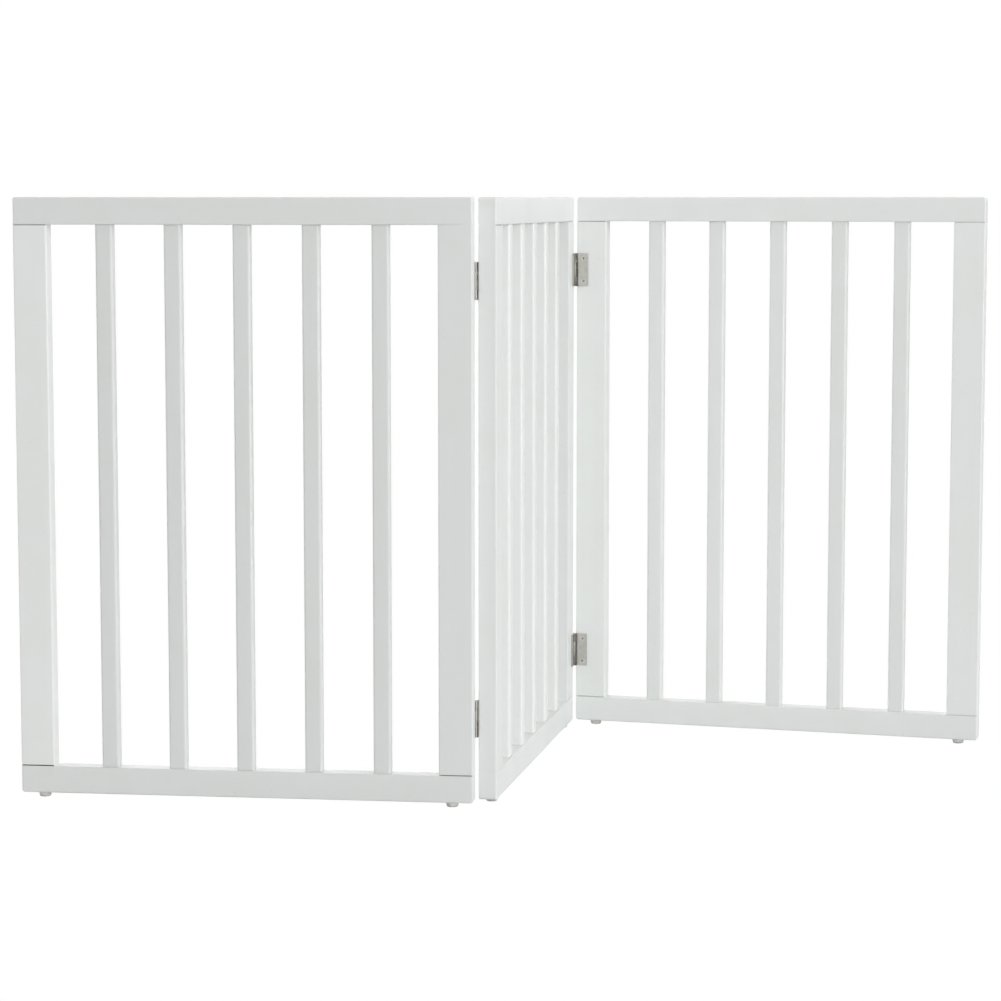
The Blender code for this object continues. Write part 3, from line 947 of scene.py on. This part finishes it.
orange_peel, inlet, outlet = new_group("orange_peel", ["Place", "Scale"], ["Height"])
wide = noise(orange_peel, inlet["Place"], inlet["Scale"], detail=1.0)
fine_scale = times(orange_peel, inlet["Scale"], FINE_PEEL)
fine = noise(orange_peel, inlet["Place"], fine_scale, detail=0.0)
wide = times(orange_peel, wide, WIDE_SHARE)
fine = times(orange_peel, fine, 1.0 - WIDE_SHARE)
feed(orange_peel, outlet["Height"], maths(orange_peel, "ADD", wide, fine))

wood_grain, inlet, outlet = new_group("wood_grain", ["Place", "Stretch"], ["Height", "Growth"])
along = stretched(wood_grain, inlet["Place"], inlet["Stretch"])
pores = noise(wood_grain, along, PORE_SCALE, detail=3.0, roughness=0.6)
growth = noise(wood_grain, along, GROWTH_SCALE, detail=2.0, distortion=0.6)
feed(wood_grain, outlet["Height"], remap(wood_grain, pores, 0.32, 0.62))
feed(wood_grain, outlet["Growth"], remap(wood_grain, growth, 0.35, 0.65))
print("Surface effects:", [group.name for group in bpy.data.node_groups])

# %% [markdown]
# ## What use leaves behind
#
# Handling leaves soft patches with a different gloss, and a few small specks.  Edges wear in
# broken stretches, so the wear group multiplies the piece's `edge` attribute by a noise.

# %% Handling marks and edge wear
SPECK_FINENESS = 38.0       # the specks' scale beside the patches'

handling, inlet, outlet = new_group("handling_marks", ["Place", "Scale"], ["Patches", "Specks"])
spot = inlet["Place"]
scale = inlet["Scale"]
patches = noise(handling, spot, scale, detail=4.0, roughness=0.62, distortion=0.4)
specks = noise(handling, spot, times(handling, scale, SPECK_FINENESS), detail=1.0)
feed(handling, outlet["Patches"], remap(handling, patches, 0.36, 0.66))
feed(handling, outlet["Specks"], remap(handling, specks, 0.74, 0.80))

edge_wear, inlet, outlet = new_group("edge_wear", ["Edge", "Place", "Scale"], ["Worn"])
broken = noise(edge_wear, inlet["Place"], inlet["Scale"], detail=4.0, roughness=0.7)
broken = remap(edge_wear, broken, 0.42, 0.62)
rim = remap(edge_wear, inlet["Edge"], 0.7, 1.0)
feed(edge_wear, outlet["Worn"], times(edge_wear, rim, broken))
print("Shared effects:", [group.name for group in bpy.data.node_groups])

# %% [markdown]
# ## White lacquer on wood
#
# The whole frame is sprayed in a satin white, slightly cool and not quite even.  Rails, stiles
# and slats share the recipe, but their grain runs a different way and the moulded slats are
# a touch smoother.  The paint thins on the edges, where it looks a little warmer and duller.
# Its colour lies between a dim and a bright white, as each piece's `tone_and_light` says: that is
# the board's own tone together with painted light and shade.

# %% Lacquer the woodwork
# the two ends of the white; each board's own tone with painted light and shade picks its place
# between them
PAINT_BRIGHT_END = (0.896, 0.917, 0.906)
PAINT_DIM_END = (0.726, 0.745, 0.735)
PAINT_DULL = (0.980, 0.978, 0.973)      # share of the colour that is left in dull patches
PAINT_THIN = (0.750, 0.742, 0.715)
SPECK_GREY = (0.62, 0.61, 0.59)
# near-black painted shade down in a joint's groove
SEAM_SHADE = (0.035, 0.035, 0.03)
GROWTH_TINT = 0.4           # how far the grain dulls the paint
THIN_SHARE = 0.35           # how far a worn edge goes to thin paint
SPECK_SHARE = 0.35
GLOSS_LOSS = 0.08           # roughness added by handling, and again by wear
LACQUER_IOR = 1.47
LACQUER_RELIEF = 0.000022


def white_lacquer(name, stretch, satin, grain_depth):
    """Satin white paint over grain that runs along the axis with the smallest stretch."""
    material, tree, shader = new_material(name)
    own = attribute(tree, "own_place", "Vector")
    room = add_node(tree, "TexCoord").outputs["Object"]
    grain = use_group(tree, wood_grain, Place=own, Stretch=stretch)
    peel = use_group(tree, orange_peel, Place=room, Scale=260.0)
    marks = use_group(tree, handling, Place=room, Scale=9.0)
    worn = use_group(tree, edge_wear, Edge=attribute(tree, "edge", "Fac"), Place=own, Scale=160.0)
    # each board's white, with its painted light and shade
    colour = blend_colours(tree, attribute(tree, "tone_and_light", "Fac"), PAINT_DIM_END, PAINT_BRIGHT_END)
    growth = times(tree, grain["Growth"], GROWTH_TINT)
    uneven = maths(tree, "MAXIMUM", marks["Patches"], growth)
    colour = blend_colours(tree, uneven, colour, stretched(tree, colour, PAINT_DULL))
    thin = times(tree, worn["Worn"], THIN_SHARE)
    colour = blend_colours(tree, thin, colour, PAINT_THIN)
    specks = times(tree, marks["Specks"], SPECK_SHARE)
    colour = blend_colours(tree, specks, colour, SPECK_GREY)
    # painted shade: darken the paint down in a joint's groove
    colour = blend_colours(tree, attribute(tree, "seam_shade", "Fac"), colour, SEAM_SHADE)
    feed(tree, shader.inputs["Base Color"], colour)
    rough = remap(tree, marks["Patches"], 0.0, 1.0, satin, satin + GLOSS_LOSS)
    rubbed = times(tree, worn["Worn"], GLOSS_LOSS)
    feed(tree, shader.inputs["Roughness"], maths(tree, "ADD", rough, rubbed))
    shader.inputs["IOR"].default_value = LACQUER_IOR
    ridges = times(tree, grain["Height"], grain_depth)
    ripples = times(tree, peel["Height"], 1.0 - grain_depth)
    raise_surface(tree, shader, maths(tree, "ADD", ridges, ripples), LACQUER_RELIEF)
    return material


finishes = {
    "rail": white_lacquer("rail_lacquer", (0.03, 1.0, 1.0), 0.36, 0.45),
    "stile": white_lacquer("stile_lacquer", (1.0, 1.0, 0.03), 0.36, 0.45),
    "slat": white_lacquer("slat_lacquer", (1.0, 1.0, 0.02), 0.33, 0.30),
}
print("Lacquers:", list(finishes))

# %% [markdown]
# ## Satin nickel and steel
#
# The hinges are nickel-plated steel, brushed along the barrel.  Fine lines are noise stretched
# along one axis.  Painted shade and a painted dark reflection lie round the barrel and in the
# crease where the plate meets it, with four clear lines left along the barrel as painted
# highlights.  The screws are darker down in their crosses.  A leaf's own coordinates start at
# the pin's axis, and tell how far it is.

# %% Lines, painted shade and darkening on the hinges
BRUSHING_SCALE = 5200.0
BARREL_SHADE_REACH = (0.0024, 0.0034)      # from the pin's axis: full painted shade, and none
CREASE_SHADE_FROM = (0.0019, 0.0022)     # from here on the crease by the plate is in painted shade, with no clear line
HIGHLIGHT_LINE = (0.0005, 0.0010)           # half the width of a clear line left as a painted highlight, and its soft edge
RECESS_DARKENING = (-0.0007, -0.0002)   # heights in a screw's head: fully darkened, and not at all

brushed, inlet, outlet = new_group("brushed_lines", ["Place", "Stretch"], ["Lines"])
along = stretched(brushed, inlet["Place"], inlet["Stretch"])
lines = noise(brushed, along, BRUSHING_SCALE, detail=3.0, roughness=0.7)
feed(brushed, outlet["Lines"], lines)


def leaf_painted_shade(tree, own):
    """Painted shade in the crease between plate and barrel, and a painted dark reflection round
    the barrel but for four clear lines left as painted highlights.
    """
    axes = axes_of(tree, own)
    across = maths(tree, "ABSOLUTE", axes["X"])
    out = maths(tree, "ABSOLUTE", axes["Y"])
    near = remap(tree, across, *BARREL_SHADE_REACH, 1.0, 0.0)
    corner = remap(tree, axes["X"], *CREASE_SHADE_FROM)
    off_highlight_lines = remap(tree, maths(tree, "MINIMUM", across, out), *HIGHLIGHT_LINE)
    return times(tree, near, maths(tree, "MAXIMUM", corner, off_highlight_lines))


def screw_recess_darkening(tree, own):
    """Darker down in the cross recess."""
    return remap(tree, axes_of(tree, own)["Z"], *RECESS_DARKENING, 1.0, 0.0)


print("Grime reaches", BARREL_SHADE_REACH[1] * 1000, "mm from the pin's axis")

# %% [markdown]
# ## Plating
#
# The metal goes from light to dull nickel in patches and along the brushing, and bright where
# an edge is worn.  A near-black darkening is laid over that, and it is rougher than the plating:
# on the leaves it is painted shade, and on the screws it darkens their crosses.

# %% Plate the hinges
NICKEL = (0.66, 0.655, 0.625)
NICKEL_WARM = (0.575, 0.56, 0.52)
NICKEL_BRIGHT = (0.86, 0.855, 0.83)
# near black: painted shade on the hinge leaves, and the darkening down in the screws' crosses
DARKENING_COLOUR = (0.07, 0.065, 0.055)
STEEL = (0.58, 0.57, 0.55)
STEEL_DARK = (0.40, 0.39, 0.37)
LINE_SHARE = 0.25           # how far a brushing line goes to the dull colour
BRIGHT_SHARE = 0.8          # and a worn edge to the bright one
DARKENING_ROUGHNESS = 0.3
METAL_RELIEF = 0.000012


def plated_metal(name, light, dull, stretch, roughness, darkening_mask=None):
    """Metal with brushing lines, tarnish, bright worn edges and a near-black darkening where a
    mask says.
    """
    material, tree, shader = new_material(name)
    own = attribute(tree, "own_place", "Vector")
    lines = use_group(tree, brushed, Place=own, Stretch=stretch)
    marks = use_group(tree, handling, Place=own, Scale=140.0)
    worn = use_group(tree, edge_wear, Edge=attribute(tree, "edge", "Fac"), Place=own, Scale=900.0)
    colour = blend_colours(tree, marks["Patches"], light, dull)
    tarnish = times(tree, lines["Lines"], LINE_SHARE)
    colour = blend_colours(tree, tarnish, colour, dull)
    bright = times(tree, worn["Worn"], BRIGHT_SHARE)
    colour = blend_colours(tree, bright, colour, NICKEL_BRIGHT)
    rough = remap(tree, lines["Lines"], 0.3, 0.7, roughness - 0.05, roughness + 0.07)
    rough = maths(tree, "ADD", rough, times(tree, marks["Patches"], 0.06))
    # lay the darkening: painted shade on the leaves, darker crosses on the screws
    if darkening_mask:
        darkening = darkening_mask(tree, own)
        darkening = times(tree, darkening, remap(tree, marks["Patches"], 0.0, 1.0, 0.75, 0.95))
        colour = blend_colours(tree, darkening, colour, DARKENING_COLOUR)
        rough = maths(tree, "ADD", rough, times(tree, darkening, DARKENING_ROUGHNESS))
    feed(tree, shader.inputs["Base Color"], colour)
    feed(tree, shader.inputs["Roughness"], rough)
    shader.inputs["Metallic"].default_value = 1.0
    raise_surface(tree, shader, lines["Lines"], METAL_RELIEF)
    return material


METALS = {                  # slot: name, light and dull colour, stretch, roughness, darkening mask (painted shade on the leaves)
    "hinge_leaf": ("leaf_nickel", NICKEL, NICKEL_WARM, (1.0, 1.0, 0.02), 0.34, leaf_painted_shade),
    "hinge_pin": ("pin_steel", STEEL, STEEL_DARK, (0.05, 0.05, 1.0), 0.38),
    "hinge_screw": ("screw_nickel", NICKEL, NICKEL_WARM, (0.3, 0.3, 0.3), 0.30, screw_recess_darkening),
}
for slot, recipe in METALS.items():
    finishes[slot] = plated_metal(*recipe)
print("Metals:", list(METALS))

# %% [markdown]
# ## Rubber feet
#
# The glides are pale grey rubber.  Moulded rubber is matt and slightly mottled, and here it is
# made darker towards the floor, where its own height is lowest.

# %% Colour the feet
RUBBER = (0.76, 0.76, 0.73)
RUBBER_DARK = (0.64, 0.64, 0.61)
RUBBER_LOW = (0.40, 0.40, 0.375)
LOW_DARK_TOP = 0.45            # share of the foot's height where the darkening ends
RUBBER_RELIEF = 0.00004


def moulded_rubber(name):
    """Pale matt rubber with mottling, darker towards the floor."""
    material, tree, shader = new_material(name)
    own = attribute(tree, "own_place", "Vector")
    marks = use_group(tree, handling, Place=own, Scale=240.0)
    peel = use_group(tree, orange_peel, Place=own, Scale=1500.0)
    height = axes_of(tree, own)["Z"]
    low = remap(tree, height, -FOOT_HEIGHT, -FOOT_HEIGHT * LOW_DARK_TOP, 1.0, 0.0)
    darker_low = times(tree, low, remap(tree, marks["Patches"], 0.0, 1.0, 0.35, 0.9))
    colour = blend_colours(tree, marks["Patches"], RUBBER, RUBBER_DARK)
    colour = blend_colours(tree, darker_low, colour, RUBBER_LOW)
    feed(tree, shader.inputs["Base Color"], colour)
    feed(tree, shader.inputs["Roughness"], remap(tree, marks["Patches"], 0.0, 1.0, 0.45, 0.62))
    raise_surface(tree, shader, peel["Height"], RUBBER_RELIEF)
    return material


finishes["foot"] = moulded_rubber("foot_rubber")
for piece in made:
    piece.data.materials.append(finishes[piece["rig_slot"]])
print("Finishes:", sorted(finishes))

# %% [markdown]
# ## Floor
#
# The gate stands on a wide sheet of pale paper, lit until it looks plain white.  The Light Path
# node does that here: the camera's own rays see a white glow, and all other rays meet ordinary
# pale paper, so the light that the floor throws back on the gate stays soft.

# %% Lay the floor
FLOOR_REACH = 40.0
FLOOR_WHITE = (0.76, 0.76, 0.76)
FLOOR_SHADE = (0.74, 0.74, 0.74)


def lay_floor():
    """A wide sheet of pale paper, which the camera sees burnt out to plain white."""
    bm = bmesh.new()
    bmesh.ops.create_grid(bm, x_segments=4, y_segments=4, size=FLOOR_REACH)
    mesh = bpy.data.meshes.new("studio_floor")
    bm.to_mesh(mesh)
    bm.free()
    floor = bpy.data.objects.new("studio_floor", mesh)
    scene.collection.objects.link(floor)
    material, tree, shader = new_material("floor_paper")
    room = add_node(tree, "TexCoord").outputs["Object"]
    tone = noise(tree, room, 3.0, detail=3.0)
    paper = blend_colours(tree, tone, FLOOR_WHITE, FLOOR_SHADE)
    seen = add_node(tree, "LightPath").outputs["Is Camera Ray"]
    feed(tree, shader.inputs["Base Color"], blend_colours(tree, seen, paper, (0.0, 0.0, 0.0)))
    shader.inputs["Roughness"].default_value = 1.0
    shader.inputs["Specular IOR Level"].default_value = 0.0
    shader.inputs["Emission Color"].default_value = (1.0, 1.0, 1.0, 1.0)
    feed(tree, shader.inputs["Emission Strength"], seen)
    mesh.materials.append(material)


lay_floor()
print("The floor reaches", FLOOR_REACH, "m each way")

# %% [markdown]
# ## Sky
#
# The world gives most of the light, as the white walls of a studio do.  It is strongest low down
# at the right front and the left back, and fades out overhead, so each face of a board has its
# own tone.  It is nearly dark behind the camera, where the metal finds something to reflect.

# %% Light the sky
SKY_RIGHT_FRONT = 5.03
SKY_LEFT_BACK = 4.61
SKY_TOP = 0.8               # height in the sky, from 0 to 1, where its light has faded out
DARK_ROOM = 0.06            # share of the front light that is left behind the camera
ROOM_WALL = (-0.97, -0.88)  # how far to the front the dark starts, full and faded out


def light_sky():
    """Plain white to the camera, and two broad low lights to everything else."""
    world = bpy.data.worlds.new("studio_sky")
    scene.world = world
    world.use_nodes = True
    tree = world.node_tree
    axes = axes_of(tree, add_node(tree, "TexCoord").outputs["Generated"])
    right = remap(tree, axes["X"], -1.0, 1.0)
    left = remap(tree, axes["X"], -1.0, 1.0, 1.0, 0.0)
    back = remap(tree, axes["Y"], -1.0, 1.0)
    front = remap(tree, axes["Y"], -1.0, 1.0, 1.0, 0.0)
    room = remap(tree, axes["Y"], *ROOM_WALL, DARK_ROOM, 1.0)
    front_light = times(tree, times(tree, right, front), SKY_RIGHT_FRONT)
    back_light = times(tree, times(tree, left, back), SKY_LEFT_BACK)
    low = remap(tree, axes["Z"], 0.0, SKY_TOP, 1.0, 0.0)
    strength = maths(tree, "ADD", times(tree, front_light, room), back_light)
    strength = times(tree, strength, low)
    seen = add_node(tree, "LightPath").outputs["Is Camera Ray"]
    white = add_node(tree, "Mix", data_type="FLOAT")
    feed(tree, white.inputs["Factor"], seen)
    feed(tree, white.inputs[2], strength)
    white.inputs[3].default_value = 1.0
    feed(tree, tree.nodes["Background"].inputs["Strength"], white.outputs[0])
    tree.nodes["Background"].inputs["Color"].default_value = (1.0, 1.0, 1.0, 1.0)


light_sky()
print("World:", scene.world.name)

# %% [markdown]
# ## Soft lights
#
# Two square area lights fill in.  A weak one in front opens the shadows between the slats, and
# a broad one overhead lights the rails' tops.  The larger a light, the softer its shadows.  The
# Standard view transform shows colours as they are, which suits a white object.

# %% Set the soft lights
GATE_MIDDLE = (0.0, 0.0, 0.3)
SOFTBOXES = {               # name: place, side in metres, power in watts
    "front": ((0.5, -2.6, 0.7), 1.2, 7.5),
    "overhead": ((0.0, 0.0, 3.0), 3.0, 42.0),
}


def add_softbox(name, place, size, watts):
    """A square area light that faces the gate's middle."""
    light = bpy.data.lights.new(name, "AREA")
    light.shape = "SQUARE"
    light.size = size
    light.energy = watts
    softbox = bpy.data.objects.new(name, light)
    softbox.location = place
    aim = Vector(GATE_MIDDLE) - Vector(place)
    softbox.rotation_euler = aim.to_track_quat("-Z", "Y").to_euler()
    scene.collection.objects.link(softbox)


for name, (place, size, watts) in SOFTBOXES.items():
    add_softbox(name, place, size, watts)
scene.view_settings.view_transform = "Standard"
